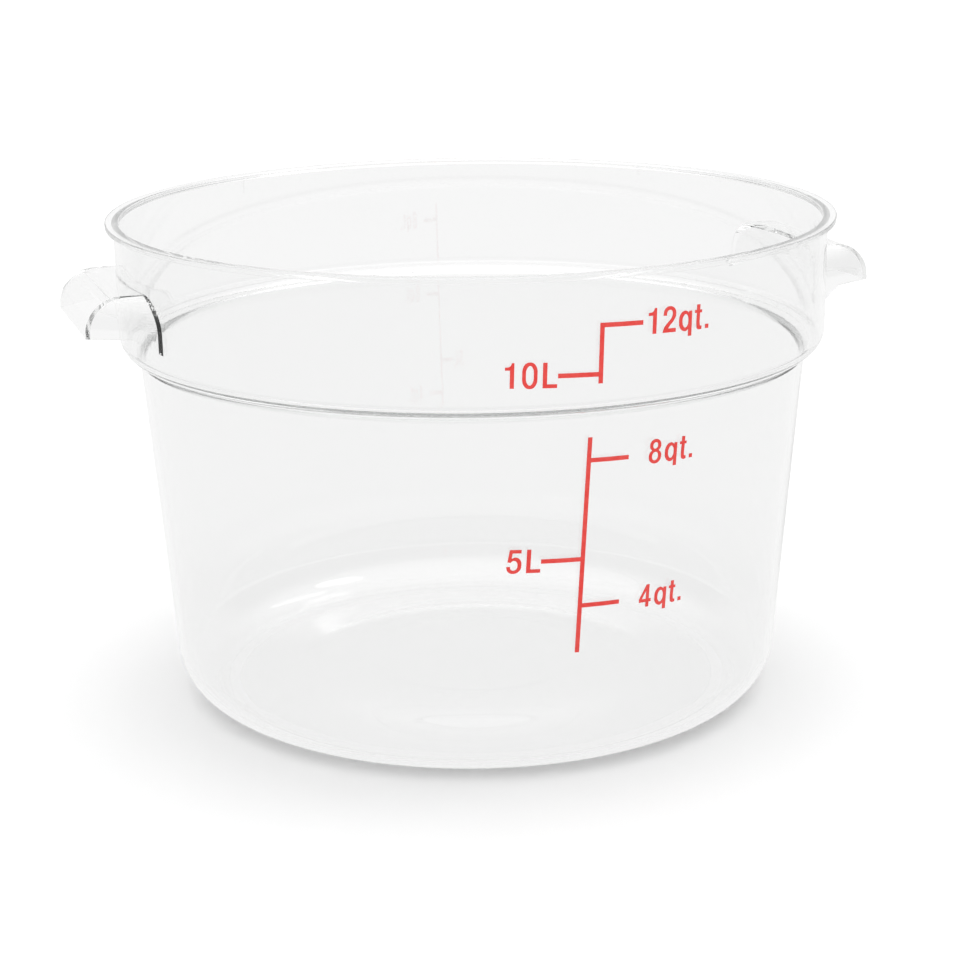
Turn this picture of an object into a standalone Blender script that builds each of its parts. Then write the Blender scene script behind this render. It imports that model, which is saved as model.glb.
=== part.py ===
"""Round food storage container, clear moulded plastic, with two hooded side handles.

The body is one injection moulding: floor, tapered wall, stacking step, upper band,
rim and both handles. The red volume scale is printed ink, in two films.
Metres, +Z up. The origin is at the centre of the base, on the ground.
The handles lie on +X and -X, and the printed scale faces -Y.
"""
import bpy
import bmesh
from math import asin, atan, cos, hypot, pi, radians, sin, sqrt
from mathutils import Matrix

# Driving dimensions of the body
TOTAL_HEIGHT = 0.2125
STEP_HEIGHT = 0.1560
RIM_RADIUS = 0.1575
RIM_OVERHANG = 0.0035
RIM_LIP_HEIGHT = 0.0022
RIM_EDGE_RADIUS = 0.0009
RIM_ROOT_RADIUS = 0.0010
BAND_DRAFT = 0.0003
STEP_WIDTH = 0.0081
STEP_FLAT_WIDTH = 0.0003
LEDGE_EDGE_RADIUS = 0.0010
BODY_TAPER = 0.01275
BASE_CORNER_RADIUS = 0.0220
WALL = 0.0025
FLOOR_THICKNESS = 0.0030
FOOT_HEIGHT = 0.0063
FOOT_WIDTH = 0.0050
FOOT_RAMP_WIDTH = 0.0200

# Driving dimensions of a handle
HANDLE_STAND_OUT = 0.0209
HANDLE_TOP_DROP = 0.0203
HANDLE_DEPTH = 0.0167
HANDLE_SHOULDER_RADIUS = 0.0152
HANDLE_ROOT_WIDTH = 0.0972
HANDLE_LIP_WIDTH = 0.0680
HANDLE_WALL = 0.0023
GUSSET_REACH = 0.0113
GUSSET_DROP = 0.0065

# Driving dimensions of the printed scale
INK_GAP = 0.0003
INK_THICKNESS = 0.0002
INK_LINE_WIDTH = 0.0018
TICK_REACH = 0.0170
INK_LEAN = radians(1.75)

# Places of the printed marks, as shares of the height up to the step
BODY_BAR_FOOT_SHARE = 0.357
FOUR_QUART_SHARE = 0.486
FIVE_LITRE_SHARE = 0.613
INK_PIVOT_SHARE = 0.798
EIGHT_QUART_SHARE = 0.876
BODY_BAR_HEAD_SHARE = 0.9365

# Places of the printed marks on the band, as shares of the height from step to rim
BAND_BAR_FOOT_SHARE = 0.239
TEN_LITRE_SHARE = 0.303
TWELVE_QUART_SHARE = 0.639

# Overrun of every cutter past the material that it cuts
OVERRUN = 0.0020
# Distance under which two points are the same one
MERGE_DISTANCE = 0.00001

# Facets
TURN_STEPS = 96
LARGE_ARC_STEPS = 7
SMALL_ARC_STEPS = 3
RAMP_ARC_STEPS = 2

# Sizes that follow from the driving dimensions
LIP_BOTTOM = TOTAL_HEIGHT - RIM_LIP_HEIGHT
BAND_TOP_RADIUS = RIM_RADIUS - RIM_OVERHANG
BAND_BOTTOM_RADIUS = BAND_TOP_RADIUS - BAND_DRAFT
BODY_TOP_RADIUS = BAND_BOTTOM_RADIUS - STEP_WIDTH
BODY_GROUND_RADIUS = BODY_TOP_RADIUS - BODY_TAPER
BAND_SLOPE = BAND_DRAFT / (LIP_BOTTOM - STEP_HEIGHT)
BODY_SLOPE = BODY_TAPER / STEP_HEIGHT
LEDGE_HEIGHT = STEP_HEIGHT + WALL
STEP_CORNER = STEP_WIDTH - STEP_FLAT_WIDTH
HANDLE_REACH = BAND_TOP_RADIUS + HANDLE_STAND_OUT
HANDLE_TOP_HEIGHT = TOTAL_HEIGHT - HANDLE_TOP_DROP
HANDLE_BOTTOM_HEIGHT = HANDLE_TOP_HEIGHT - HANDLE_DEPTH


def clear_scene():
    for obj in list(bpy.data.objects):
        bpy.data.objects.remove(obj, do_unlink=True)
    for group in list(bpy.data.collections):
        bpy.data.collections.remove(group)


def new_collection(name):
    group = bpy.data.collections.new(name)
    bpy.context.scene.collection.children.link(group)
    return group


def new_material(name, color, roughness, transmission, ior):
    material = bpy.data.materials.new(name)
    material.use_nodes = True
    shader = material.node_tree.nodes["Principled BSDF"]
    shader.inputs["Base Color"].default_value = (*color, 1.0)
    shader.inputs["Roughness"].default_value = roughness
    shader.inputs["Metallic"].default_value = 0.0
    shader.inputs["Transmission Weight"].default_value = transmission
    shader.inputs["IOR"].default_value = ior
    material.diffuse_color = (*color, 1.0)
    return material


def arc(center, radius, start, end, steps):
    """Points of an arc in a flat outline, from angle start to angle end."""
    angles = [start + (end - start) * i / steps for i in range(steps + 1)]
    return [(center[0] + radius * cos(a), center[1] + radius * sin(a)) for a in angles]


def corner_on_slope(ground_radius, slope, ground_height, radius):
    """Centre of an arc that touches a flat ground and, from inside, a sloping side."""
    side = ground_radius + slope * radius
    return (side - radius * hypot(1.0, slope), ground_height + radius)


def body_outer_radius(height):
    return BODY_GROUND_RADIUS + BODY_SLOPE * height


def band_outer_radius(height):
    return BAND_BOTTOM_RADIUS + BAND_SLOPE * (height - STEP_HEIGHT)


def base_center():
    return corner_on_slope(BODY_GROUND_RADIUS, BODY_SLOPE, 0.0, BASE_CORNER_RADIUS)


def band_center():
    return corner_on_slope(BAND_BOTTOM_RADIUS, BAND_SLOPE, STEP_HEIGHT, STEP_CORNER)


def ramp_points(above):
    """The floor's soft ramp down to the foot ring: two arcs, at a distance above the underside."""
    foot_inner = base_center()[0] - FOOT_WIDTH
    turn = 2 * atan(FOOT_HEIGHT / FOOT_RAMP_WIDTH)
    radius = FOOT_RAMP_WIDTH / (2 * sin(turn))
    top_center = (foot_inner - FOOT_RAMP_WIDTH, FOOT_HEIGHT - radius)
    foot_center = (foot_inner, radius)
    points = arc(top_center, radius + above, pi / 2, pi / 2 - turn, RAMP_ARC_STEPS)
    points += arc(foot_center, radius - above, -pi / 2 - turn, -pi / 2, RAMP_ARC_STEPS)
    return points


def floor_inner_points():
    """Top of the floor, from the axis out to the foot ring."""
    return [(0.0, FOOT_HEIGHT + FLOOR_THICKNESS)] + ramp_points(FLOOR_THICKNESS)


def floor_outer_points():
    """Underside, from the foot ring in to the axis."""
    return ramp_points(0.0)[::-1] + [(0.0, FOOT_HEIGHT)]


def inner_side_points():
    """Inside of the wall, from the floor up to the rim."""
    base = base_center()
    inner_radius = BASE_CORNER_RADIUS - WALL
    floor_angle = -asin((base[1] - FLOOR_THICKNESS) / inner_radius)
    points = arc(base, inner_radius, floor_angle, -atan(BODY_SLOPE), LARGE_ARC_STEPS)
    wall_inset = WALL * hypot(1.0, BODY_SLOPE)
    edge_height = LEDGE_HEIGHT - LEDGE_EDGE_RADIUS
    edge_center = (
        body_outer_radius(edge_height) - wall_inset + LEDGE_EDGE_RADIUS * hypot(1.0, BODY_SLOPE),
        edge_height,
    )
    points += arc(edge_center, LEDGE_EDGE_RADIUS, pi - atan(BODY_SLOPE), pi / 2, SMALL_ARC_STEPS)
    band = band_center()
    band_inner = STEP_CORNER - WALL
    points += arc(band, band_inner, -pi / 2, -atan(BAND_SLOPE), SMALL_ARC_STEPS + 1)
    rim_inner = band_outer_radius(TOTAL_HEIGHT) - WALL
    points += arc((rim_inner + RIM_EDGE_RADIUS, TOTAL_HEIGHT - RIM_EDGE_RADIUS),
                  RIM_EDGE_RADIUS, pi, pi / 2, SMALL_ARC_STEPS)
    return points


def outer_side_points():
    """Outside of the wall, from the rim down to the foot ring."""
    points = arc((RIM_RADIUS - RIM_EDGE_RADIUS, TOTAL_HEIGHT - RIM_EDGE_RADIUS),
                 RIM_EDGE_RADIUS, pi / 2, 0.0, SMALL_ARC_STEPS)
    points += arc((RIM_RADIUS - RIM_EDGE_RADIUS, LIP_BOTTOM + RIM_EDGE_RADIUS),
                  RIM_EDGE_RADIUS, 0.0, -pi / 2, SMALL_ARC_STEPS)
    root_height = LIP_BOTTOM - RIM_ROOT_RADIUS
    points += arc((band_outer_radius(root_height) + RIM_ROOT_RADIUS, root_height),
                  RIM_ROOT_RADIUS, pi / 2, pi, SMALL_ARC_STEPS)
    band = band_center()
    points += arc(band, STEP_CORNER, -atan(BAND_SLOPE), -pi / 2, LARGE_ARC_STEPS)
    points.append((BODY_TOP_RADIUS, STEP_HEIGHT))
    base = base_center()
    points += arc(base, BASE_CORNER_RADIUS, -atan(BODY_SLOPE), -pi / 2, LARGE_ARC_STEPS)
    return points


def without_doubles(points):
    kept = [points[0]]
    for point in points[1:]:
        if hypot(point[0] - kept[-1][0], point[1] - kept[-1][1]) > MERGE_DISTANCE:
            kept.append(point)
    return kept


def turned(name, points):
    """Turn an outline of (radius, height) points about the Z axis."""
    mesh = bpy.data.meshes.new(name)
    vertices = [(radius, 0.0, height) for radius, height in points]
    edges = [(i, i + 1) for i in range(len(points) - 1)]
    mesh.from_pydata(vertices, edges, [])
    obj = bpy.data.objects.new(name, mesh)
    screw = obj.modifiers.new("turn", "SCREW")
    screw.axis = "Z"
    screw.angle = 2 * pi
    screw.steps = TURN_STEPS
    screw.render_steps = TURN_STEPS
    screw.use_merge_vertices = True
    screw.merge_threshold = MERGE_DISTANCE
    screw.use_smooth_shade = True
    return obj


def as_mesh_object(obj, group):
    """Replace a curve or a modified object by its own closed mesh."""
    bpy.context.view_layer.update()
    depsgraph = bpy.context.evaluated_depsgraph_get()
    mesh = bpy.data.meshes.new_from_object(obj.evaluated_get(depsgraph))
    mesh.name = obj.name
    bm = bmesh.new()
    bm.from_mesh(mesh)
    bmesh.ops.remove_doubles(bm, verts=bm.verts, dist=MERGE_DISTANCE)
    bmesh.ops.recalc_face_normals(bm, faces=bm.faces)
    bm.to_mesh(mesh)
    bm.free()
    name = obj.name
    world = obj.matrix_world.copy()
    bpy.data.objects.remove(obj, do_unlink=True)
    result = bpy.data.objects.new(name, mesh)
    result.matrix_world = world
    group.objects.link(result)
    return result


def side_plate(name, outline, thickness, group):
    """A flat outline of (distance, height) points, filled and as thick as given along Y."""
    curve = bpy.data.curves.new(name, "CURVE")
    curve.dimensions = "2D"
    curve.fill_mode = "BOTH"
    curve.extrude = thickness / 2
    spline = curve.splines.new("POLY")
    spline.points.add(len(outline) - 1)
    for point, (across, up) in zip(spline.points, outline):
        point.co = (across, up, 0.0, 1.0)
    spline.use_cyclic_u = True
    obj = bpy.data.objects.new(name, curve)
    group.objects.link(obj)
    obj.matrix_world = Matrix.Rotation(pi / 2, 4, "X")
    return as_mesh_object(obj, group)


def cutter(obj):
    obj.hide_render = True
    obj.display_type = "WIRE"
    return obj


def add_boolean(obj, other, operation):
    modifier = obj.modifiers.new(operation.lower(), "BOOLEAN")
    modifier.operation = operation
    modifier.solver = "EXACT"
    modifier.object = other


def wall_core_points():
    """Outline of all that lies inside the middle of the wall, from above the rim to the ground."""
    middle = WALL / 2
    body_inset = middle * hypot(1.0, BODY_SLOPE)
    above = TOTAL_HEIGHT + OVERRUN
    points = [(0.0, above), (band_outer_radius(above) - middle, above)]
    points += arc(band_center(), STEP_CORNER - middle, -atan(BAND_SLOPE), -pi / 2, LARGE_ARC_STEPS)
    neck = STEP_HEIGHT + middle
    points.append((body_outer_radius(neck) - body_inset, neck))
    points.append((BODY_GROUND_RADIUS - body_inset, 0.0))
    points.append((0.0, 0.0))
    return points


def handle_root_distance():
    """Distance from the axis at which the end plates run into the middle of the band's wall."""
    middle_radius = BAND_BOTTOM_RADIUS - WALL / 2
    return sqrt(middle_radius ** 2 - (HANDLE_ROOT_WIDTH / 2) ** 2)


def hood_start_distance():
    """Where the hood's solids start, well inside every wall that the handle can stand on."""
    return handle_root_distance() / 2


def hood_plan(turn, inset, start):
    """Plan of the hood at one level: a straight front, and end plates that spread to the wall.

    The turn about the shoulder sets the level. The spread is full where the lip is upright
    and fades to nothing at the flat top.
    """
    shoulder = HANDLE_REACH - HANDLE_SHOULDER_RADIUS
    front = shoulder + HANDLE_SHOULDER_RADIUS * cos(turn)
    flare = (HANDLE_ROOT_WIDTH - HANDLE_LIP_WIDTH) / 2 * cos(turn)
    slope = flare / (front - handle_root_distance())
    inset_front = shoulder + (HANDLE_SHOULDER_RADIUS - inset) * cos(turn)
    half = HANDLE_LIP_WIDTH / 2 - inset * hypot(1.0, slope)
    front_half = half + slope * (front - inset_front)
    start_half = half + slope * (front - start)
    return [
        (start, -start_half),
        (inset_front, -front_half),
        (inset_front, front_half),
        (start, start_half),
    ]


def hood_loft(name, inset, start, foot, group):
    """Closed solid through the hood's plans, from the foot up over the shoulder to the top."""
    shoulder_height = HANDLE_TOP_HEIGHT - HANDLE_SHOULDER_RADIUS
    levels = [(foot, 0.0)]
    for i in range(LARGE_ARC_STEPS + 1):
        turn = pi / 2 * i / LARGE_ARC_STEPS
        levels.append((shoulder_height + (HANDLE_SHOULDER_RADIUS - inset) * sin(turn), turn))
    bm = bmesh.new()
    rings = []
    for height, turn in levels:
        plan = hood_plan(turn, inset, start)
        rings.append([bm.verts.new((across, along, height)) for across, along in plan])
    for low, high in zip(rings, rings[1:]):
        for i in range(len(low)):
            j = (i + 1) % len(low)
            bm.faces.new((low[i], low[j], high[j], high[i]))
    bm.faces.new(rings[0])
    bm.faces.new(rings[-1])
    bmesh.ops.triangulate(bm, faces=bm.faces)
    bmesh.ops.recalc_face_normals(bm, faces=bm.faces)
    mesh = bpy.data.meshes.new(name)
    bm.to_mesh(mesh)
    bm.free()
    obj = bpy.data.objects.new(name, mesh)
    group.objects.link(obj)
    return obj


def hood_under_outline():
    """Side view of what the hood keeps: all above its lip, and the gussets down to the wall."""
    start = hood_start_distance()
    wall_at_plate = sqrt(BAND_BOTTOM_RADIUS ** 2 - (HANDLE_ROOT_WIDTH / 2) ** 2)
    gusset_foot = HANDLE_BOTTOM_HEIGHT - GUSSET_DROP
    end = HANDLE_REACH + OVERRUN
    top = HANDLE_TOP_HEIGHT + OVERRUN
    return [
        (start, gusset_foot),
        (wall_at_plate, gusset_foot),
        (wall_at_plate + GUSSET_REACH, HANDLE_BOTTOM_HEIGHT),
        (end, HANDLE_BOTTOM_HEIGHT),
        (end, top),
        (start, top),
    ]


def make_handle(name, turn, cutters):
    """One hooded handle, open underneath, ready to be joined to the band."""
    start = hood_start_distance()
    gusset_foot = HANDLE_BOTTOM_HEIGHT - GUSSET_DROP
    shell = hood_loft(name, 0.0, start - OVERRUN, gusset_foot - OVERRUN, cutters)
    under = side_plate(name + "_under", hood_under_outline(), 2 * RIM_RADIUS, cutters)
    add_boolean(shell, cutter(under), "INTERSECT")
    pocket = hood_loft(name + "_pocket", HANDLE_WALL, start - 2 * OVERRUN,
                       gusset_foot - 2 * OVERRUN, cutters)
    add_boolean(shell, cutter(pocket), "DIFFERENCE")
    core = turned(name + "_root_cut", wall_core_points())
    cutters.objects.link(core)
    add_boolean(shell, cutter(as_mesh_object(core, cutters)), "DIFFERENCE")
    shell = as_mesh_object(shell, cutters)
    shell.matrix_world = Matrix.Rotation(turn, 4, "Z") @ shell.matrix_world
    return cutter(shell)


def make_body(group, cutters, material):
    points = floor_inner_points() + inner_side_points() + outer_side_points()
    points += floor_outer_points()
    body = turned("container_body", without_doubles(points))
    body.data.materials.append(material)
    group.objects.link(body)
    for side, turn in (("right", 0.0), ("left", pi)):
        add_boolean(body, make_handle("handle_" + side, turn, cutters), "UNION")
    return body


def leaned(across, height):
    """A print point after the artwork's slight clockwise lean about its pivot."""
    pivot = STEP_HEIGHT * INK_PIVOT_SHARE
    up = height - pivot
    return (
        across * cos(INK_LEAN) + up * sin(INK_LEAN),
        pivot + up * cos(INK_LEAN) - across * sin(INK_LEAN),
    )


def scale_outline(bar_foot, bar_head, right_ticks, left_ticks):
    """Outline of an upright bar with ticks at the given heights on its two sides."""
    half = INK_LINE_WIDTH / 2
    points = [(half, bar_foot)]
    for height in sorted(right_ticks):
        points += [(half, height - half), (TICK_REACH, height - half)]
        points += [(TICK_REACH, height + half), (half, height + half)]
    points += [(half, bar_head), (-half, bar_head)]
    for height in sorted(left_ticks, reverse=True):
        points += [(-half, height + half), (-TICK_REACH, height + half)]
        points += [(-TICK_REACH, height - half), (-half, height - half)]
    points += [(-half, bar_foot)]
    return [leaned(across, height) for across, height in without_doubles(points)]


def ink_film(name, wall_radius, outline, group, cutters, material):
    """A print film: a thin turned sleeve off the wall, cut to the outline of the marks."""
    heights = [height for across, height in outline]
    low = min(heights) - OVERRUN
    high = max(heights) + OVERRUN
    near = INK_GAP
    far = INK_GAP + INK_THICKNESS
    sleeve = turned(name, [
        (wall_radius(high) + far, high),
        (wall_radius(low) + far, low),
        (wall_radius(low) + near, low),
        (wall_radius(high) + near, high),
        (wall_radius(high) + far, high),
    ])
    group.objects.link(sleeve)
    sleeve = as_mesh_object(sleeve, group)
    marks = side_plate(name + "_marks", outline, RIM_RADIUS, cutters)
    marks.matrix_world = Matrix.Translation((0.0, -RIM_RADIUS, 0.0)) @ marks.matrix_world
    add_boolean(sleeve, cutter(marks), "INTERSECT")
    sleeve.data.materials.append(material)
    return sleeve


def make_ink(group, cutters, material):
    band_height = TOTAL_HEIGHT - STEP_HEIGHT
    twelve_quart = STEP_HEIGHT + band_height * TWELVE_QUART_SHARE
    ten_litre = STEP_HEIGHT + band_height * TEN_LITRE_SHARE
    band_foot = STEP_HEIGHT + band_height * BAND_BAR_FOOT_SHARE
    band_marks = scale_outline(band_foot, twelve_quart + INK_LINE_WIDTH / 2,
                               [twelve_quart], [ten_litre])
    ink_film("band_scale_ink", band_outer_radius, band_marks, group, cutters, material)
    eight_quart = STEP_HEIGHT * EIGHT_QUART_SHARE
    five_litre = STEP_HEIGHT * FIVE_LITRE_SHARE
    four_quart = STEP_HEIGHT * FOUR_QUART_SHARE
    body_marks = scale_outline(STEP_HEIGHT * BODY_BAR_FOOT_SHARE, STEP_HEIGHT * BODY_BAR_HEAD_SHARE,
                               [four_quart, eight_quart], [five_litre])
    ink_film("body_scale_ink", body_outer_radius, body_marks, group, cutters, material)


def main():
    clear_scene()
    group = new_collection("round_storage_container")
    cutters = new_collection("cutters")
    clear_plastic = new_material("clear_polycarbonate", (0.97, 0.98, 0.98), 0.04, 1.0, 1.585)
    red_ink = new_material("red_ink", (0.80, 0.06, 0.05), 0.45, 0.0, 1.5)
    make_body(group, cutters, clear_plastic)
    make_ink(group, cutters, red_ink)


main()
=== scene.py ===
import bpy
from math import asin, atan, cos, hypot, pi, radians, sin, sqrt
from mathutils import Matrix


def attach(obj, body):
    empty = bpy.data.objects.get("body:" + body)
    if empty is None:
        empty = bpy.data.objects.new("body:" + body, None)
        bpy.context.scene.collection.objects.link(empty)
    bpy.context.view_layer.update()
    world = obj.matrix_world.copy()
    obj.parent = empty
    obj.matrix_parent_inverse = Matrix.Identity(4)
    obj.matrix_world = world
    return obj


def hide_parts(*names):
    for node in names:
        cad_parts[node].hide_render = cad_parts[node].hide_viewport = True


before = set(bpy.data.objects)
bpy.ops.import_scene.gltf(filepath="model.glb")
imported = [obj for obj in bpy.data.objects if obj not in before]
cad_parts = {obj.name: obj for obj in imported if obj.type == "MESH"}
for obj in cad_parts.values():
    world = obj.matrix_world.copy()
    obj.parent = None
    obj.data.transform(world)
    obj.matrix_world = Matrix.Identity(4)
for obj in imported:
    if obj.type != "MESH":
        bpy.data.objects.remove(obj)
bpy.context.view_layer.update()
print("frame loaded")

# all lengths in metres, the container stands on z = 0, its print faces -Y


def deselectAll():
    if bpy.context.object and bpy.context.object.mode != "OBJECT":
        bpy.ops.object.mode_set(mode="OBJECT")
    bpy.ops.object.select_all(action="DESELECT")


def pickOnly(piece):
    deselectAll()
    piece.select_set(True)
    bpy.context.view_layer.objects.active = piece


def applyModifier(piece, modifier):
    pickOnly(piece)
    bpy.ops.object.modifier_apply(modifier=modifier.name)


def bakePlace(piece):
    pickOnly(piece)
    bpy.ops.object.transform_apply(location=True, rotation=True, scale=True)


def fixNormals(piece):
    pickOnly(piece)
    bpy.ops.object.mode_set(mode="EDIT")
    bpy.ops.mesh.select_all(action="SELECT")
    bpy.ops.mesh.remove_doubles(threshold=0.000002)
    bpy.ops.mesh.normals_make_consistent(inside=False)
    bpy.ops.object.mode_set(mode="OBJECT")


def joinByCut(piece, other, operation):
    cut = piece.modifiers.new("cut", "BOOLEAN")
    cut.operation = operation
    cut.solver = "EXACT"
    cut.object = other
    applyModifier(piece, cut)
    bpy.data.objects.remove(other, do_unlink=True)


bodyShape = {
    "height": 0.2125,
    "step": 0.1560,
    "rimRadius": 0.1575,
    "rimOverhang": 0.0035,
    "rimLip": 0.0022,
    "rimEdge": 0.0005,
    "rimInnerEdge": 0.0010,
    "rimRoot": 0.0006,
    "bandDraft": 0.0003,
    "stepWidth": 0.0081,
    "stepFlat": 0.0003,
    "ledge": 0.1600,  # inside, where the band's wall meets the round that runs down to the body
    "ledgeRoot": 0.0004,
    "taper": 0.01275,
    "baseCorner": 0.0220,
    "wall": 0.0025,
    "floor": 0.0030,
    "foot": 0.0063,
    "footWidth": 0.0050,
    "rampWidth": 0.0600,
    "around": 256,  # faces in one turn
}

b = bodyShape
lipBottom = b["height"] - b["rimLip"]
bandTop = b["rimRadius"] - b["rimOverhang"]
bandBottom = bandTop - b["bandDraft"]
bodyTop = bandBottom - b["stepWidth"]
bodyGround = bodyTop - b["taper"]
bandSlope = b["bandDraft"] / (lipBottom - b["step"])
bodySlope = b["taper"] / b["step"]
stepCorner = b["stepWidth"] - b["stepFlat"]


def bodyRadius(height):
    return bodyGround + bodySlope * height


def bandRadius(height):
    return bandBottom + bandSlope * (height - b["step"])


def arcPoints(center, radius, start, end, steps):
    turns = [start + (end - start) * i / steps for i in range(steps + 1)]
    return [(center[0] + radius * cos(t), center[1] + radius * sin(t)) for t in turns]


def cornerOn(ground, slope, height, radius):
    return (ground + slope * radius - radius * hypot(1, slope), height + radius)


def floorRamp(above):
    # soft rise from the foot ring to the raised floor, at a distance above the underside
    footInner = cornerOn(bodyGround, bodySlope, 0, b["baseCorner"])[0] - b["footWidth"]
    turn = 2 * atan(b["foot"] / b["rampWidth"])
    radius = b["rampWidth"] / (2 * sin(turn))
    top = (footInner - b["rampWidth"], b["foot"] - radius)
    points = arcPoints(top, radius + above, pi / 2, pi / 2 - turn, 14)
    return points + arcPoints((footInner, radius), radius - above, -pi / 2 - turn, -pi / 2, 14)


def bodyOutline():
    base = cornerOn(bodyGround, bodySlope, 0, b["baseCorner"])
    band = cornerOn(bandBottom, bandSlope, b["step"], stepCorner)
    points = floorRamp(b["floor"])
    innerBase = b["baseCorner"] - b["wall"]
    floorTurn = -asin((base[1] - b["floor"]) / innerBase)
    points += arcPoints(base, innerBase, floorTurn, -atan(bodySlope), 16)
    lean = atan(bodySlope)
    crease = bandRadius(b["ledge"]) - b["wall"]
    span = crease - bodyRadius(b["ledge"]) + b["wall"] * hypot(1, bodySlope)
    ledgeRound = span / (cos(lean) - bodySlope * (1 - sin(lean)))
    rootTurn = asin(b["ledgeRoot"] / ledgeRound)
    points += arcPoints((crease, b["ledge"] - ledgeRound), ledgeRound, pi - lean, pi / 2 + rootTurn, 14)
    root = (crease - b["ledgeRoot"], b["ledge"] + b["ledgeRoot"])
    points += arcPoints(root, b["ledgeRoot"], -pi / 2, 0, 5)
    rimInner = bandRadius(b["height"]) - b["wall"]
    innerEdge = (rimInner + b["rimInnerEdge"], b["height"] - b["rimInnerEdge"])
    points += arcPoints(innerEdge, b["rimInnerEdge"], pi, pi / 2, 8)
    rimCenter = b["height"] - b["rimEdge"]
    rimOuter = b["rimRadius"] - b["rimEdge"]
    points += arcPoints((rimOuter, rimCenter), b["rimEdge"], pi / 2, 0, 6)
    points += arcPoints((rimOuter, lipBottom + b["rimEdge"]), b["rimEdge"], 0, -pi / 2, 6)
    rootHeight = lipBottom - b["rimRoot"]
    root = (bandRadius(rootHeight) + b["rimRoot"], rootHeight)
    points += arcPoints(root, b["rimRoot"], pi / 2, pi, 6)
    points += arcPoints(band, stepCorner, -atan(bandSlope), -pi / 2, 14)
    points += [(bodyTop, b["step"])]
    points += arcPoints(base, b["baseCorner"], -atan(bodySlope), -pi / 2, 18)
    points += floorRamp(0)[::-1]
    kept = points[:1]
    for point in points[1:]:
        if hypot(point[0] - kept[-1][0], point[1] - kept[-1][1]) > 0.00001:
            kept.append(point)
    return kept


def turnBody():
    outline = bodyOutline()
    radius, height = outline[0]
    deselectAll()
    bpy.ops.mesh.primitive_circle_add(vertices=b["around"], radius=radius, fill_type="NGON",
                                      location=(0, 0, height))
    shell = bpy.context.object
    shell.name = "clear_body"
    bakePlace(shell)
    bpy.ops.object.mode_set(mode="EDIT")
    bpy.ops.mesh.select_mode(type="EDGE")
    bpy.ops.mesh.select_all(action="SELECT")
    bpy.ops.mesh.region_to_loop()
    for newRadius, newHeight in outline[1:]:  # draw the rim of the floor out and up, ring by ring
        bpy.ops.mesh.extrude_edges_move(
            TRANSFORM_OT_translate={"value": (0, 0, newHeight - height)})
        grow = newRadius / radius
        bpy.ops.transform.resize(value=(grow, grow, 1), center_override=(0, 0, newHeight))
        radius, height = newRadius, newHeight
    bpy.ops.mesh.edge_face_add()  # underside of the floor
    bpy.ops.object.mode_set(mode="OBJECT")
    fixNormals(shell)
    return shell


handleShape = {
    "standOut": 0.0209,
    "topDrop": 0.0203,
    "depth": 0.0167,
    "shoulder": 0.0152,
    "rootWidth": 0.0972,
    "lipWidth": 0.0680,
    "wall": 0.0023,
    "gussetReach": 0.0113,
    "gussetDrop": 0.0065,
    "edge": 0.0004,
    "innerEdge": 0.0006,
    "flatEdge": 0.0006,  # narrow faces beside the shoulder, so that the flat parts shade flat
    "roundSteps": 24,
}

h = handleShape
reach = bandTop + h["standOut"]
hoodTop = b["height"] - h["topDrop"]
hoodBottom = hoodTop - h["depth"]
gussetFoot = hoodBottom - h["gussetDrop"]
wallMiddle = bandBottom - b["wall"] / 2
rootAt = sqrt(wallMiddle ** 2 - (h["rootWidth"] / 2) ** 2)
spare = 0.002


def hoodSolid(name, inset, start, foot):
    # a block, its outer top edge rolled over, its root side drawn wider towards the bottom
    half = h["lipWidth"] / 2
    end = reach - inset
    top = hoodTop - inset
    deselectAll()
    bpy.ops.mesh.primitive_cube_add(size=1, location=((start + end) / 2, 0, (foot + top) / 2),
                                    scale=(end - start, 2 * half, top - foot))
    hood = bpy.context.object
    hood.name = name
    bakePlace(hood)
    mesh = hood.data
    for edge in mesh.edges:
        ends = [mesh.vertices[i].co for i in edge.vertices]
        edge.select = all(c.x > end - 0.0001 and c.z > top - 0.0001 for c in ends)
    for vertex in mesh.vertices:
        vertex.select = vertex.co.x > end - 0.0001 and vertex.co.z > top - 0.0001
    for face in mesh.polygons:
        face.select = False
    bpy.ops.object.mode_set(mode="EDIT")
    bpy.ops.mesh.select_mode(type="EDGE")
    bpy.ops.mesh.bevel(offset=h["shoulder"] - inset, segments=h["roundSteps"], profile=0.5)
    shoulderAt = reach - h["shoulder"]
    shoulderHeight = hoodTop - h["shoulder"]
    levels = [(foot, 0), (top, pi / 2), (shoulderHeight - h["flatEdge"], 0)]
    for i in range(h["roundSteps"]):
        turn = pi / 2 * i / h["roundSteps"]
        levels.append((shoulderHeight + (h["shoulder"] - inset) * sin(turn), turn))
    for height, turn in levels[2:]:
        bpy.ops.mesh.select_all(action="SELECT")
        bpy.ops.mesh.bisect(plane_co=(0, 0, height), plane_no=(0, 0, 1))
    bpy.ops.mesh.select_all(action="SELECT")
    bpy.ops.mesh.bisect(plane_co=(shoulderAt - h["flatEdge"], 0, 0), plane_no=(1, 0, 0))
    bpy.ops.object.mode_set(mode="OBJECT")
    for vertex in mesh.vertices:  # every level gets its own spread, full at the lip, none on top
        height, turn = min(levels, key=lambda level: abs(level[0] - vertex.co.z))
        front = shoulderAt + h["shoulder"] * cos(turn)
        slope = (h["rootWidth"] - h["lipWidth"]) / 2 * cos(turn) / (front - rootAt)
        width = half - inset * hypot(1, slope) + slope * (front - vertex.co.x)
        vertex.co.y = width if vertex.co.y > 0 else -width
    fixNormals(hood)
    return hood


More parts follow.
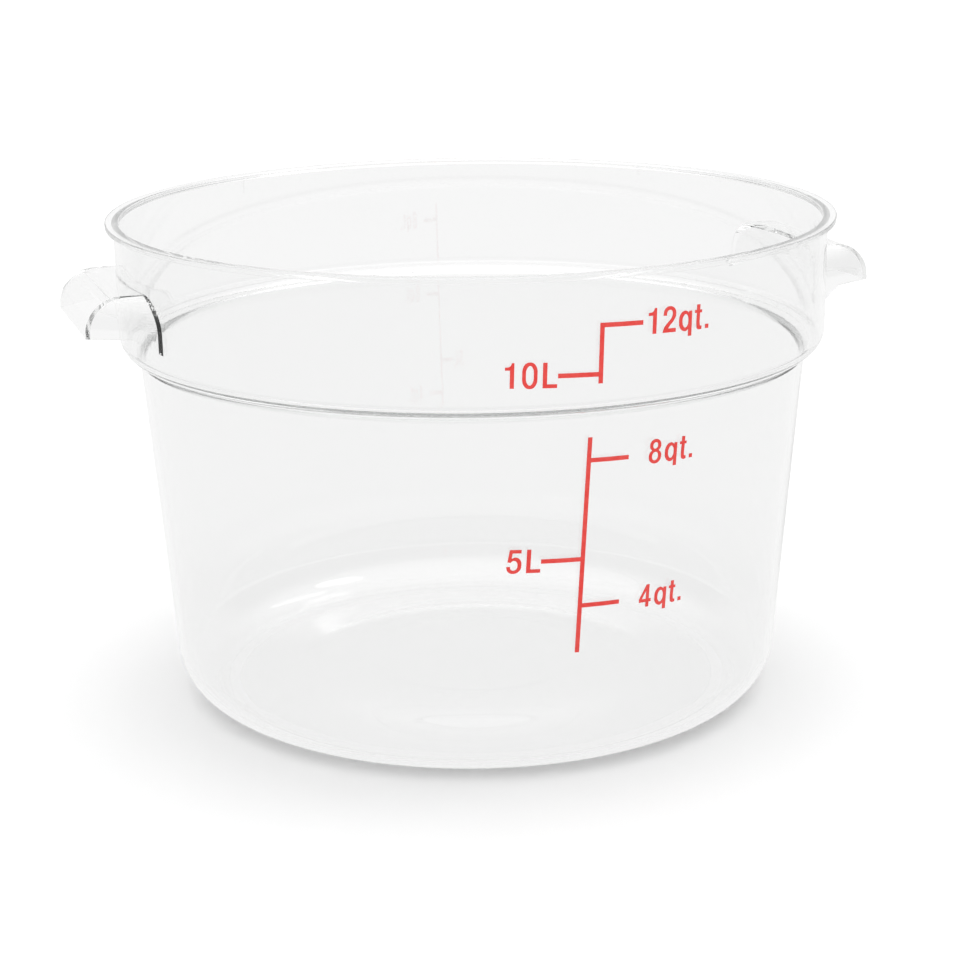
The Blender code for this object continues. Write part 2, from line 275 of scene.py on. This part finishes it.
def gussetWedge():
    # what is taken away under the lip, leaving a sloping gusset at each end plate
    atWall = sqrt(bandBottom ** 2 - (h["rootWidth"] / 2) ** 2)
    slope = h["gussetReach"] / h["gussetDrop"]
    low = gussetFoot - 2 * spare
    start = atWall + h["gussetReach"]
    end = reach + spare
    deselectAll()
    bpy.ops.mesh.primitive_cube_add(size=1, location=((start + end) / 2, 0, (low + hoodBottom) / 2),
                                    scale=(end - start, 2 * h["rootWidth"], hoodBottom - low))
    wedge = bpy.context.object
    bakePlace(wedge)
    for vertex in wedge.data.vertices:
        if vertex.co.x < start + 0.0001 and vertex.co.z < low + 0.0001:
            vertex.co.x -= slope * (hoodBottom - low)
    return wedge


def softenEdges(piece, width, segments):
    soften = piece.modifiers.new("soften", "BEVEL")
    soften.width = width
    soften.segments = segments
    soften.limit_method = "ANGLE"
    soften.angle_limit = radians(40)
    applyModifier(piece, soften)


def hoodHandle(name):
    hood = hoodSolid(name, 0, rootAt - 2 * spare, gussetFoot)
    joinByCut(hood, gussetWedge(), "DIFFERENCE")
    pocket = hoodSolid("pocket", h["wall"], rootAt - 3 * spare, gussetFoot - 2 * spare)
    softenEdges(pocket, h["innerEdge"], 5)
    joinByCut(hood, pocket, "DIFFERENCE")
    softenEdges(hood, h["edge"], 3)
    pickOnly(hood)
    bpy.ops.object.mode_set(mode="EDIT")
    bpy.ops.mesh.select_mode(type="FACE")
    bpy.ops.mesh.select_all(action="DESELECT")
    bpy.ops.object.mode_set(mode="OBJECT")
    for face in hood.data.polygons:
        face.select = abs(face.normal.y) > 0.02
    bpy.ops.object.mode_set(mode="EDIT")
    bpy.ops.mesh.quads_convert_to_tris(quad_method="BEAUTY", ngon_method="BEAUTY")  # end plates join cleanly
    bpy.ops.object.mode_set(mode="OBJECT")
    deselectAll()
    bpy.ops.mesh.primitive_cylinder_add(vertices=b["around"], radius=wallMiddle,
                                        depth=2 * b["height"])
    joinByCut(hood, bpy.context.object, "DIFFERENCE")
    return hood


body = turnBody()
print("body turned:", len(body.data.vertices), "points")
rightHandle = hoodHandle("right_handle")
pickOnly(rightHandle)
bpy.ops.object.duplicate()
leftHandle = bpy.context.object
leftHandle.rotation_euler = (0, 0, pi)
bakePlace(leftHandle)
joinByCut(body, rightHandle, "UNION")
joinByCut(body, leftHandle, "UNION")
pickOnly(body)
bpy.ops.object.mode_set(mode="EDIT")
bpy.ops.mesh.select_all(action="SELECT")
bpy.ops.mesh.remove_doubles(threshold=0.000005)  # slivers that the joining leaves at the roots
bpy.ops.mesh.dissolve_degenerate(threshold=0.000005)
bpy.ops.object.mode_set(mode="OBJECT")
bpy.ops.object.shade_smooth_by_angle(angle=radians(30))
levelFaces = body.modifiers.new("level_faces", "WEIGHTED_NORMAL")  # broad faces stay flat to their edges
levelFaces.weight = 50
levelFaces.keep_sharp = True
applyModifier(body, levelFaces)
print("handles joined:", len(body.data.polygons), "faces")

printShape = {
    "lean": 1.75,  # degrees, clockwise
    "pivot": 0.1245,
    "gap": 0.0003,
    "film": 0.0002,
}

# words, height of the capitals, foot of the capitals, left end and right end along the wall
printMarks = {
    "label_12qt": ("12qt.", 0.0100, 0.1873, 0.0193, 0.0477),
    "label_10L": ("10L", 0.0099, 0.1685, -0.0374, -0.0173),
    "label_8qt": ("8qt.", 0.0097, 0.1329, 0.0262, 0.0477),
    "label_5L": ("5L", 0.0098, 0.0910, -0.0308, -0.0172),
    "label_4qt": ("4qt.", 0.0096, 0.0718, 0.0263, 0.0473),
}

# plain block letters, capitals one unit high: closed outlines, s marks a soft point
letterShapes = {
    "0": ([(0.30, 1.02, "s"), (0.50, 0.93, "s"), (0.595, 0.50, "s"), (0.50, 0.07, "s"),
           (0.30, -0.02, "s"), (0.095, 0.07, "s"), (0.00, 0.50, "s"), (0.095, 0.93, "s")],
          [(0.30, 0.885, "s"), (0.40, 0.80, "s"), (0.45, 0.50, "s"), (0.40, 0.20, "s"),
           (0.30, 0.115, "s"), (0.195, 0.20, "s"), (0.145, 0.50, "s"), (0.195, 0.80, "s")]),
    "1": ([(0.195, 0.00), (0.36, 0.00), (0.36, 1.00), (0.265, 1.00), (0.20, 0.87, "s"),
           (0.00, 0.82), (0.00, 0.71), (0.195, 0.71)],),
    "2": ([(0.00, 0.00), (0.60, 0.00), (0.60, 0.155), (0.235, 0.155), (0.32, 0.27, "s"),
           (0.49, 0.45, "s"), (0.595, 0.71, "s"), (0.51, 0.94, "s"), (0.31, 1.02, "s"),
           (0.09, 0.93, "s"), (0.01, 0.67), (0.16, 0.66), (0.20, 0.83, "s"), (0.31, 0.88, "s"),
           (0.41, 0.83, "s"), (0.44, 0.71, "s"), (0.39, 0.56, "s"), (0.20, 0.36, "s"),
           (0.06, 0.19, "s")],),
    "4": ([(0.335, 0.00), (0.485, 0.00), (0.485, 0.22), (0.59, 0.22), (0.59, 0.36),
           (0.485, 0.36), (0.485, 1.00), (0.345, 1.00), (0.00, 0.37), (0.00, 0.22), (0.335, 0.22)],
          [(0.335, 0.36), (0.335, 0.74), (0.125, 0.36)]),
    "5": ([(0.12, 1.00), (0.59, 1.00), (0.59, 0.855), (0.235, 0.855), (0.21, 0.62),
           (0.36, 0.675, "s"), (0.54, 0.59, "s"), (0.61, 0.33, "s"), (0.53, 0.09, "s"),
           (0.29, -0.02, "s"), (0.08, 0.06, "s"), (0.00, 0.265), (0.15, 0.285),
           (0.20, 0.15, "s"), (0.30, 0.115, "s"), (0.41, 0.17, "s"), (0.455, 0.33, "s"),
           (0.41, 0.48, "s"), (0.31, 0.54, "s"), (0.22, 0.51, "s"), (0.18, 0.455), (0.045, 0.475)],),
    "8": ([(0.29, 1.02, "s"), (0.49, 0.94, "s"), (0.56, 0.76, "s"), (0.53, 0.63, "s"),
           (0.45, 0.54), (0.56, 0.43, "s"), (0.59, 0.28, "s"), (0.51, 0.07, "s"),
           (0.29, -0.02, "s"), (0.07, 0.07, "s"), (-0.01, 0.28, "s"), (0.02, 0.43, "s"),
           (0.13, 0.54), (0.05, 0.63, "s"), (0.02, 0.76, "s"), (0.09, 0.94, "s")],
          [(0.29, 0.885, "s"), (0.38, 0.845, "s"), (0.41, 0.745, "s"), (0.38, 0.65, "s"),
           (0.29, 0.61, "s"), (0.20, 0.65, "s"), (0.17, 0.745, "s"), (0.20, 0.845, "s")],
          [(0.29, 0.475, "s"), (0.40, 0.42, "s"), (0.44, 0.29, "s"), (0.40, 0.165, "s"),
           (0.29, 0.115, "s"), (0.18, 0.165, "s"), (0.14, 0.29, "s"), (0.18, 0.42, "s")]),
    "L": ([(0.00, 0.00), (0.57, 0.00), (0.57, 0.15), (0.17, 0.15), (0.17, 1.00), (0.00, 1.00)],),
    "q": ([(0.45, -0.22), (0.61, -0.22), (0.61, 0.76), (0.465, 0.76), (0.46, 0.68),
           (0.38, 0.76, "s"), (0.27, 0.785, "s"), (0.08, 0.68, "s"), (0.00, 0.385, "s"),
           (0.08, 0.09, "s"), (0.27, -0.02, "s"), (0.38, 0.01, "s"), (0.45, 0.08)],
          [(0.155, 0.385, "s"), (0.20, 0.57, "s"), (0.305, 0.65, "s"), (0.41, 0.57, "s"),
           (0.45, 0.385, "s"), (0.41, 0.20, "s"), (0.305, 0.12, "s"), (0.20, 0.20, "s")]),
    "t": ([(0.095, 0.97), (0.25, 0.97), (0.25, 0.76), (0.345, 0.76), (0.345, 0.645),
           (0.25, 0.645), (0.25, 0.19, "s"), (0.275, 0.135, "s"), (0.345, 0.125), (0.345, 0.00),
           (0.22, -0.015, "s"), (0.125, 0.03, "s"), (0.095, 0.15, "s"), (0.095, 0.645),
           (0.00, 0.645), (0.00, 0.76), (0.095, 0.76)],),
    ".": ([(0.00, 0.00), (0.165, 0.00), (0.165, 0.165), (0.00, 0.165)],),
}
letterGaps = {"12": 0.29, "10": 0.31, "2q": 0.15, "0L": 0.21, "8q": 0.19, "4q": 0.19, "5L": 0.20,
              "qt": 0.15, "t.": 0.19}


def letterWidth(letter):
    return max(point[0] for point in letterShapes[letter][0])


def flatWords(name, words):
    # closed outlines side by side, filled and made a mesh
    deselectAll()
    bpy.ops.object.add(type="CURVE")
    flat = bpy.context.object
    flat.name = name
    flat.data.dimensions = "2D"
    flat.data.fill_mode = "BOTH"
    flat.data.resolution_u = 8
    across = 0
    for i, letter in enumerate(words):
        for outline in letterShapes[letter]:
            line = flat.data.splines.new("BEZIER")
            line.bezier_points.add(len(outline) - 1)
            line.use_cyclic_u = True
            for point, (x, y, *soft) in zip(line.bezier_points, outline):
                point.co = (across + x, y, 0)
                point.handle_left_type = point.handle_right_type = "AUTO" if soft else "VECTOR"
        if i + 1 < len(words):
            across += letterWidth(letter) + letterGaps[words[i:i + 2]]
    bpy.context.view_layer.update()
    pickOnly(flat)
    bpy.ops.object.convert(target="MESH")
    return bpy.context.object


def printLabel(name, words, capHeight, foot, left, right):
    label = flatWords(name, words)
    low = min(v.co.x for v in label.data.vertices)
    high = max(v.co.x for v in label.data.vertices)
    wide = (right - left) / (high - low)
    lean = radians(printShape["lean"])
    pickOnly(label)
    bpy.ops.object.mode_set(mode="EDIT")
    bpy.ops.mesh.select_all(action="SELECT")
    bpy.ops.mesh.remove_doubles(threshold=0.0005)
    bpy.ops.mesh.beautify_fill()
    bpy.ops.mesh.subdivide(number_cuts=2)
    bpy.ops.object.mode_set(mode="OBJECT")
    for vertex in label.data.vertices:  # lay the words on the wall, with the lean of the print
        across = left + (vertex.co.x - low) * wide
        up = foot + vertex.co.y * capHeight - printShape["pivot"]
        along = across * cos(lean) + up * sin(lean)
        height = printShape["pivot"] + up * cos(lean) - across * sin(lean)
        around = bandRadius(height) if height > b["step"] else bodyRadius(height)
        out = around + printShape["gap"]
        vertex.co = (out * sin(along / around), -out * cos(along / around), height)
    film = label.modifiers.new("film", "SOLIDIFY")
    film.thickness = printShape["film"]
    film.offset = 1
    applyModifier(label, film)
    fixNormals(label)
    return label


labels = [printLabel(name, *marks) for name, marks in printMarks.items()]
print("numbers printed:", len(labels))

clearFinish = {
    "tint": (0.965, 0.966, 0.965),
    "passed": (0.08, 0.10, 0.09),  # with the absorption per metre, how long ways inside the wall darken
    "absorption": 2.0,
    "roughness": 0.012,
    "refraction": 1.585,
    "waveSize": 9.0,
    "waveDepth": 0.0020,
    "grainSize": 900.0,
    "grainDepth": 0.0004,
}

inkFinish = {
    "thick": (0.800, 0.028, 0.022),
    "thin": (0.840, 0.075, 0.062),
    "roughness": 0.42,
    "mottle": 420.0,
}


def addNode(tree, kind, place, **values):
    node = tree.nodes.new(kind)
    node.location = place
    for key, value in values.items():
        setattr(node, key, value)
    return node


def mouldedSurfaceGroup():
    # slow waves left by moulding, fine handling marks and a little haze
    group = bpy.data.node_groups.new("mouldedSurface", "ShaderNodeTree")
    for name, kind in (("Vector", "NodeSocketVector"), ("Wave size", "NodeSocketFloat"),
                       ("Wave depth", "NodeSocketFloat"), ("Grain size", "NodeSocketFloat"),
                       ("Grain depth", "NodeSocketFloat"), ("Roughness", "NodeSocketFloat")):
        group.interface.new_socket(name, in_out="INPUT", socket_type=kind)
    group.interface.new_socket("Roughness", in_out="OUTPUT", socket_type="NodeSocketFloat")
    group.interface.new_socket("Height", in_out="OUTPUT", socket_type="NodeSocketFloat")
    given = addNode(group, "NodeGroupInput", (-900, 0))
    out = addNode(group, "NodeGroupOutput", (500, 0))
    waves = addNode(group, "ShaderNodeTexNoise", (-600, 200))
    waves.inputs["Detail"].default_value = 1
    grain = addNode(group, "ShaderNodeTexNoise", (-600, -50))
    grain.inputs["Detail"].default_value = 3
    haze = addNode(group, "ShaderNodeTexNoise", (-600, -300))
    haze.inputs["Scale"].default_value = 38
    haze.inputs["Detail"].default_value = 4
    waveHeight = addNode(group, "ShaderNodeMath", (-300, 200), operation="MULTIPLY")
    grainHeight = addNode(group, "ShaderNodeMath", (-300, -50), operation="MULTIPLY")
    total = addNode(group, "ShaderNodeMath", (0, 100), operation="ADD")
    spread = addNode(group, "ShaderNodeMapRange", (-300, -300))
    spread.inputs["From Min"].default_value = 0.35
    spread.inputs["From Max"].default_value = 0.75
    spread.inputs["To Min"].default_value = 0.7
    spread.inputs["To Max"].default_value = 1.8
    rough = addNode(group, "ShaderNodeMath", (0, -250), operation="MULTIPLY")
    link = group.links.new
    for texture in (waves, grain, haze):
        link(given.outputs["Vector"], texture.inputs["Vector"])
    link(given.outputs["Wave size"], waves.inputs["Scale"])
    link(given.outputs["Grain size"], grain.inputs["Scale"])
    link(waves.outputs["Fac"], waveHeight.inputs[0])
    link(given.outputs["Wave depth"], waveHeight.inputs[1])
    link(grain.outputs["Fac"], grainHeight.inputs[0])
    link(given.outputs["Grain depth"], grainHeight.inputs[1])
    link(waveHeight.outputs[0], total.inputs[0])
    link(grainHeight.outputs[0], total.inputs[1])
    link(haze.outputs["Fac"], spread.inputs["Value"])
    link(spread.outputs[0], rough.inputs[0])
    link(given.outputs["Roughness"], rough.inputs[1])
    link(rough.outputs[0], out.inputs["Roughness"])
    link(total.outputs[0], out.inputs["Height"])
    return group


mouldedSurface = mouldedSurfaceGroup()


def newMaterial(name):
    material = bpy.data.materials.new(name)
    material.use_nodes = True
    tree = material.node_tree
    shader = tree.nodes["Principled BSDF"]
    place = addNode(tree, "ShaderNodeTexCoord", (-1100, 0))
    return material, tree, shader, place


def clearPlastic():
    material, tree, shader, place = newMaterial("clear_polycarbonate")
    shader.inputs["Base Color"].default_value = (*clearFinish["tint"], 1)
    shader.inputs["Metallic"].default_value = 0
    shader.inputs["IOR"].default_value = clearFinish["refraction"]
    shader.inputs["Transmission Weight"].default_value = 1
    surface = addNode(tree, "ShaderNodeGroup", (-800, 0), node_tree=mouldedSurface)
    surface.inputs["Wave size"].default_value = clearFinish["waveSize"]
    surface.inputs["Wave depth"].default_value = clearFinish["waveDepth"]
    surface.inputs["Grain size"].default_value = clearFinish["grainSize"]
    surface.inputs["Grain depth"].default_value = clearFinish["grainDepth"]
    surface.inputs["Roughness"].default_value = clearFinish["roughness"]
    bump = addNode(tree, "ShaderNodeBump", (-400, -250))
    bump.inputs["Strength"].default_value = 0.25
    bump.inputs["Distance"].default_value = 0.02
    tree.links.new(place.outputs["Object"], surface.inputs["Vector"])
    tree.links.new(surface.outputs["Roughness"], shader.inputs["Roughness"])
    tree.links.new(surface.outputs["Height"], bump.inputs["Height"])
    tree.links.new(bump.outputs["Normal"], shader.inputs["Normal"])
    absorb = addNode(tree, "ShaderNodeVolumeAbsorption", (0, -350))
    absorb.inputs["Color"].default_value = (*clearFinish["passed"], 1)
    absorb.inputs["Density"].default_value = clearFinish["absorption"]
    tree.links.new(absorb.outputs[0], tree.nodes["Material Output"].inputs["Volume"])
    return material


def redInk():
    material, tree, shader, place = newMaterial("red_ink")
    shader.inputs["Metallic"].default_value = 0
    surface = addNode(tree, "ShaderNodeGroup", (-800, 0), node_tree=mouldedSurface)
    surface.inputs["Wave size"].default_value = 60
    surface.inputs["Wave depth"].default_value = 0.2
    surface.inputs["Grain size"].default_value = inkFinish["mottle"]
    surface.inputs["Grain depth"].default_value = 0.8
    surface.inputs["Roughness"].default_value = inkFinish["roughness"]
    color = addNode(tree, "ShaderNodeValToRGB", (-400, 150))
    color.color_ramp.elements[0].position = 0.30
    color.color_ramp.elements[0].color = (*inkFinish["thick"], 1)
    color.color_ramp.elements[1].position = 0.75
    color.color_ramp.elements[1].color = (*inkFinish["thin"], 1)
    bump = addNode(tree, "ShaderNodeBump", (-400, -250))
    bump.inputs["Strength"].default_value = 0.3
    bump.inputs["Distance"].default_value = 0.0002
    tree.links.new(place.outputs["Object"], surface.inputs["Vector"])
    tree.links.new(surface.outputs["Height"], color.inputs["Fac"])
    tree.links.new(color.outputs["Color"], shader.inputs["Base Color"])
    tree.links.new(surface.outputs["Roughness"], shader.inputs["Roughness"])
    tree.links.new(surface.outputs["Height"], bump.inputs["Height"])
    tree.links.new(bump.outputs["Normal"], shader.inputs["Normal"])
    return material


def dress(piece, material):
    piece.data.materials.clear()
    piece.data.materials.append(material)
    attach(piece, "root")


clearMaterial = clearPlastic()
inkMaterial = redInk()
dress(body, clearMaterial)
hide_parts("container_body")
for label in labels:
    dress(label, inkMaterial)
for nodeName in ("band_scale_ink", "body_scale_ink"):
    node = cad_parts[nodeName]
    for place in node.material_slots:
        place.material = inkMaterial
print("finishes given")

studio = {
    "floorSize": 80.0,
    "floorColor": (0.97, 0.97, 0.97),
    "floorGlow": 0.02,  # for the camera alone, so that the open floor is white
    "floorThrough": 0.95,  # level of the floor as the clear plastic shows it
    "throughShare": 0.92,
    "surround": 1.0,  # level of the surroundings near the horizon
    "overhead": 1.7,
    "darkSide": (-0.307, -0.952, 0.0),  # from the container towards the camera
    "darkShare": 0.45,
    "sideLight": 1.2,
    "sideSize": 0.5,
    "lightBounces": 128,  # light runs a long way inside clear walls, and goes black if it is cut short
}


def studioFloor():
    deselectAll()
    bpy.ops.mesh.primitive_plane_add(size=studio["floorSize"], location=(0, 0, 0))
    floor = bpy.context.object
    floor.name = "studio_floor"
    material = bpy.data.materials.new("studio_floor")
    material.use_nodes = True
    material.cycles.emission_sampling = "NONE"
    tree = material.node_tree
    tree.nodes.remove(tree.nodes["Principled BSDF"])
    path = addNode(tree, "ShaderNodeLightPath", (-900, 0))
    matt = addNode(tree, "ShaderNodeBsdfDiffuse", (-300, 150))
    matt.inputs["Color"].default_value = (*studio["floorColor"], 1)
    glowLevel = addNode(tree, "ShaderNodeMath", (-600, 0), operation="MULTIPLY")
    glowLevel.inputs[1].default_value = studio["floorGlow"]
    glow = addNode(tree, "ShaderNodeEmission", (-300, 0))
    open = addNode(tree, "ShaderNodeAddShader", (0, 100))
    seenBy = addNode(tree, "ShaderNodeMath", (-600, -200), operation="MAXIMUM")
    share = addNode(tree, "ShaderNodeMath", (-300, -200), operation="MULTIPLY")
    share.inputs[1].default_value = studio["throughShare"]
    through = addNode(tree, "ShaderNodeEmission", (-300, -400))
    through.inputs["Strength"].default_value = studio["floorThrough"]
    mix = addNode(tree, "ShaderNodeMixShader", (250, 0))
    link = tree.links.new
    link(path.outputs["Is Camera Ray"], glowLevel.inputs[0])
    link(glowLevel.outputs[0], glow.inputs["Strength"])
    link(matt.outputs[0], open.inputs[0])
    link(glow.outputs[0], open.inputs[1])
    link(path.outputs["Is Glossy Ray"], seenBy.inputs[0])
    link(path.outputs["Is Transmission Ray"], seenBy.inputs[1])
    link(seenBy.outputs[0], share.inputs[0])
    link(share.outputs[0], mix.inputs[0])
    link(open.outputs[0], mix.inputs[1])
    link(through.outputs[0], mix.inputs[2])
    link(mix.outputs[0], tree.nodes["Material Output"].inputs["Surface"])
    floor.data.materials.append(material)


def studioWorld():
    world = bpy.data.worlds.new("studio")
    bpy.context.scene.world = world
    world.use_nodes = True
    tree = world.node_tree
    tree.nodes.clear()
    place = addNode(tree, "ShaderNodeTexCoord", (-1200, 0))
    split = addNode(tree, "ShaderNodeSeparateXYZ", (-1000, 0))
    facing = addNode(tree, "ShaderNodeVectorMath", (-1000, -200), operation="DOT_PRODUCT")
    facing.inputs[1].default_value = studio["darkSide"]

    def softStep(value, start, end, low, high, height):
        step = addNode(tree, "ShaderNodeMapRange", (-800, height), interpolation_type="SMOOTHSTEP")
        for name, number in zip(("From Min", "From Max", "To Min", "To Max"), (start, end, low, high)):
            step.inputs[name].default_value = number
        tree.links.new(value, step.inputs["Value"])
        return step.outputs[0]

    tree.links.new(place.outputs["Generated"], split.inputs[0])
    tree.links.new(place.outputs["Generated"], facing.inputs[0])
    level = softStep(split.outputs["Z"], 0.50, 0.95, studio["surround"], studio["overhead"], 100)
    low = softStep(split.outputs["Z"], 0.40, 0.75, 1, 0, -100)  # the unlit room, all but the far side
    near = softStep(facing.outputs["Value"], -0.75, -0.35, 0, studio["darkShare"], -300)
    dark = addNode(tree, "ShaderNodeMath", (-600, -200), operation="MULTIPLY")
    lit = addNode(tree, "ShaderNodeMath", (-500, 0), operation="SUBTRACT")
    path = addNode(tree, "ShaderNodeLightPath", (-600, 300))
    around = addNode(tree, "ShaderNodeBackground", (-300, 0))
    white = addNode(tree, "ShaderNodeBackground", (-300, -150))
    for background in (around, white):
        background.inputs["Color"].default_value = (1, 1, 1, 1)
    mix = addNode(tree, "ShaderNodeMixShader", (0, 0))
    out = addNode(tree, "ShaderNodeOutputWorld", (250, 0))
    tree.links.new(low, dark.inputs[0])
    tree.links.new(near, dark.inputs[1])
    tree.links.new(level, lit.inputs[0])
    tree.links.new(dark.outputs[0], lit.inputs[1])
    tree.links.new(lit.outputs[0], around.inputs["Strength"])
    tree.links.new(path.outputs["Is Camera Ray"], mix.inputs[0])
    tree.links.new(around.outputs[0], mix.inputs[1])
    tree.links.new(white.outputs[0], mix.inputs[2])
    tree.links.new(mix.outputs[0], out.inputs["Surface"])


def studioLamp(name, place, size, power):
    deselectAll()
    bpy.ops.object.light_add(type="AREA", location=place)
    lamp = bpy.context.object
    lamp.name = name
    lamp.data.shape = "DISK"
    lamp.data.size = size
    lamp.data.energy = power
    lamp.rotation_mode = "QUATERNION"
    lamp.rotation_quaternion = (-lamp.location).to_track_quat("-Z", "Y")


studioFloor()
studioWorld()
studioLamp("side_lamp", (1.05, -0.27, 1.68), studio["sideSize"], studio["sideLight"])
light = bpy.context.scene.cycles
light.max_bounces = light.glossy_bounces = light.transmission_bounces = studio["lightBounces"]

cameraSetting = {
    "distance": 1.01821,
    "height": 0.38083,
    "pitch": 0.27984,
    "yaw": -0.00440,
    "roll": 0.01093,
    "around": -17.86,  # degrees round the container from straight in front of the print
    "lens": 87.73,
    "sensor": 36.0,
}


def photoCamera():
    c = cameraSetting
    turn = radians(c["around"])

    def turned(x, y, z):
        return (x * cos(turn) - y * sin(turn), x * sin(turn) + y * cos(turn), z)

    forward = (-sin(c["yaw"]) * cos(c["pitch"]), cos(c["yaw"]) * cos(c["pitch"]), -sin(c["pitch"]))
    level = (cos(c["yaw"]), sin(c["yaw"]), 0)
    upright = (-sin(c["yaw"]) * sin(c["pitch"]), cos(c["yaw"]) * sin(c["pitch"]), cos(c["pitch"]))
    right = [cos(c["roll"]) * p - sin(c["roll"]) * q for p, q in zip(level, upright)]
    up = [sin(c["roll"]) * p + cos(c["roll"]) * q for p, q in zip(level, upright)]
    right, up, forward = turned(*right), turned(*up), turned(*forward)
    place = turned(0, -c["distance"], c["height"])
    deselectAll()
    bpy.ops.object.camera_add()
    camera = bpy.context.object
    camera.name = "photo_camera"
    camera.data.sensor_width = c["sensor"]
    camera.data.lens = c["lens"]
    camera.matrix_world = Matrix((
        (right[0], up[0], -forward[0], place[0]),
        (right[1], up[1], -forward[1], place[1]),
        (right[2], up[2], -forward[2], place[2]),
        (0, 0, 0, 1),
    ))
    bpy.context.scene.camera = camera


photoCamera()
bpy.context.scene.view_settings.view_transform = "Standard"
print("studio and camera set")
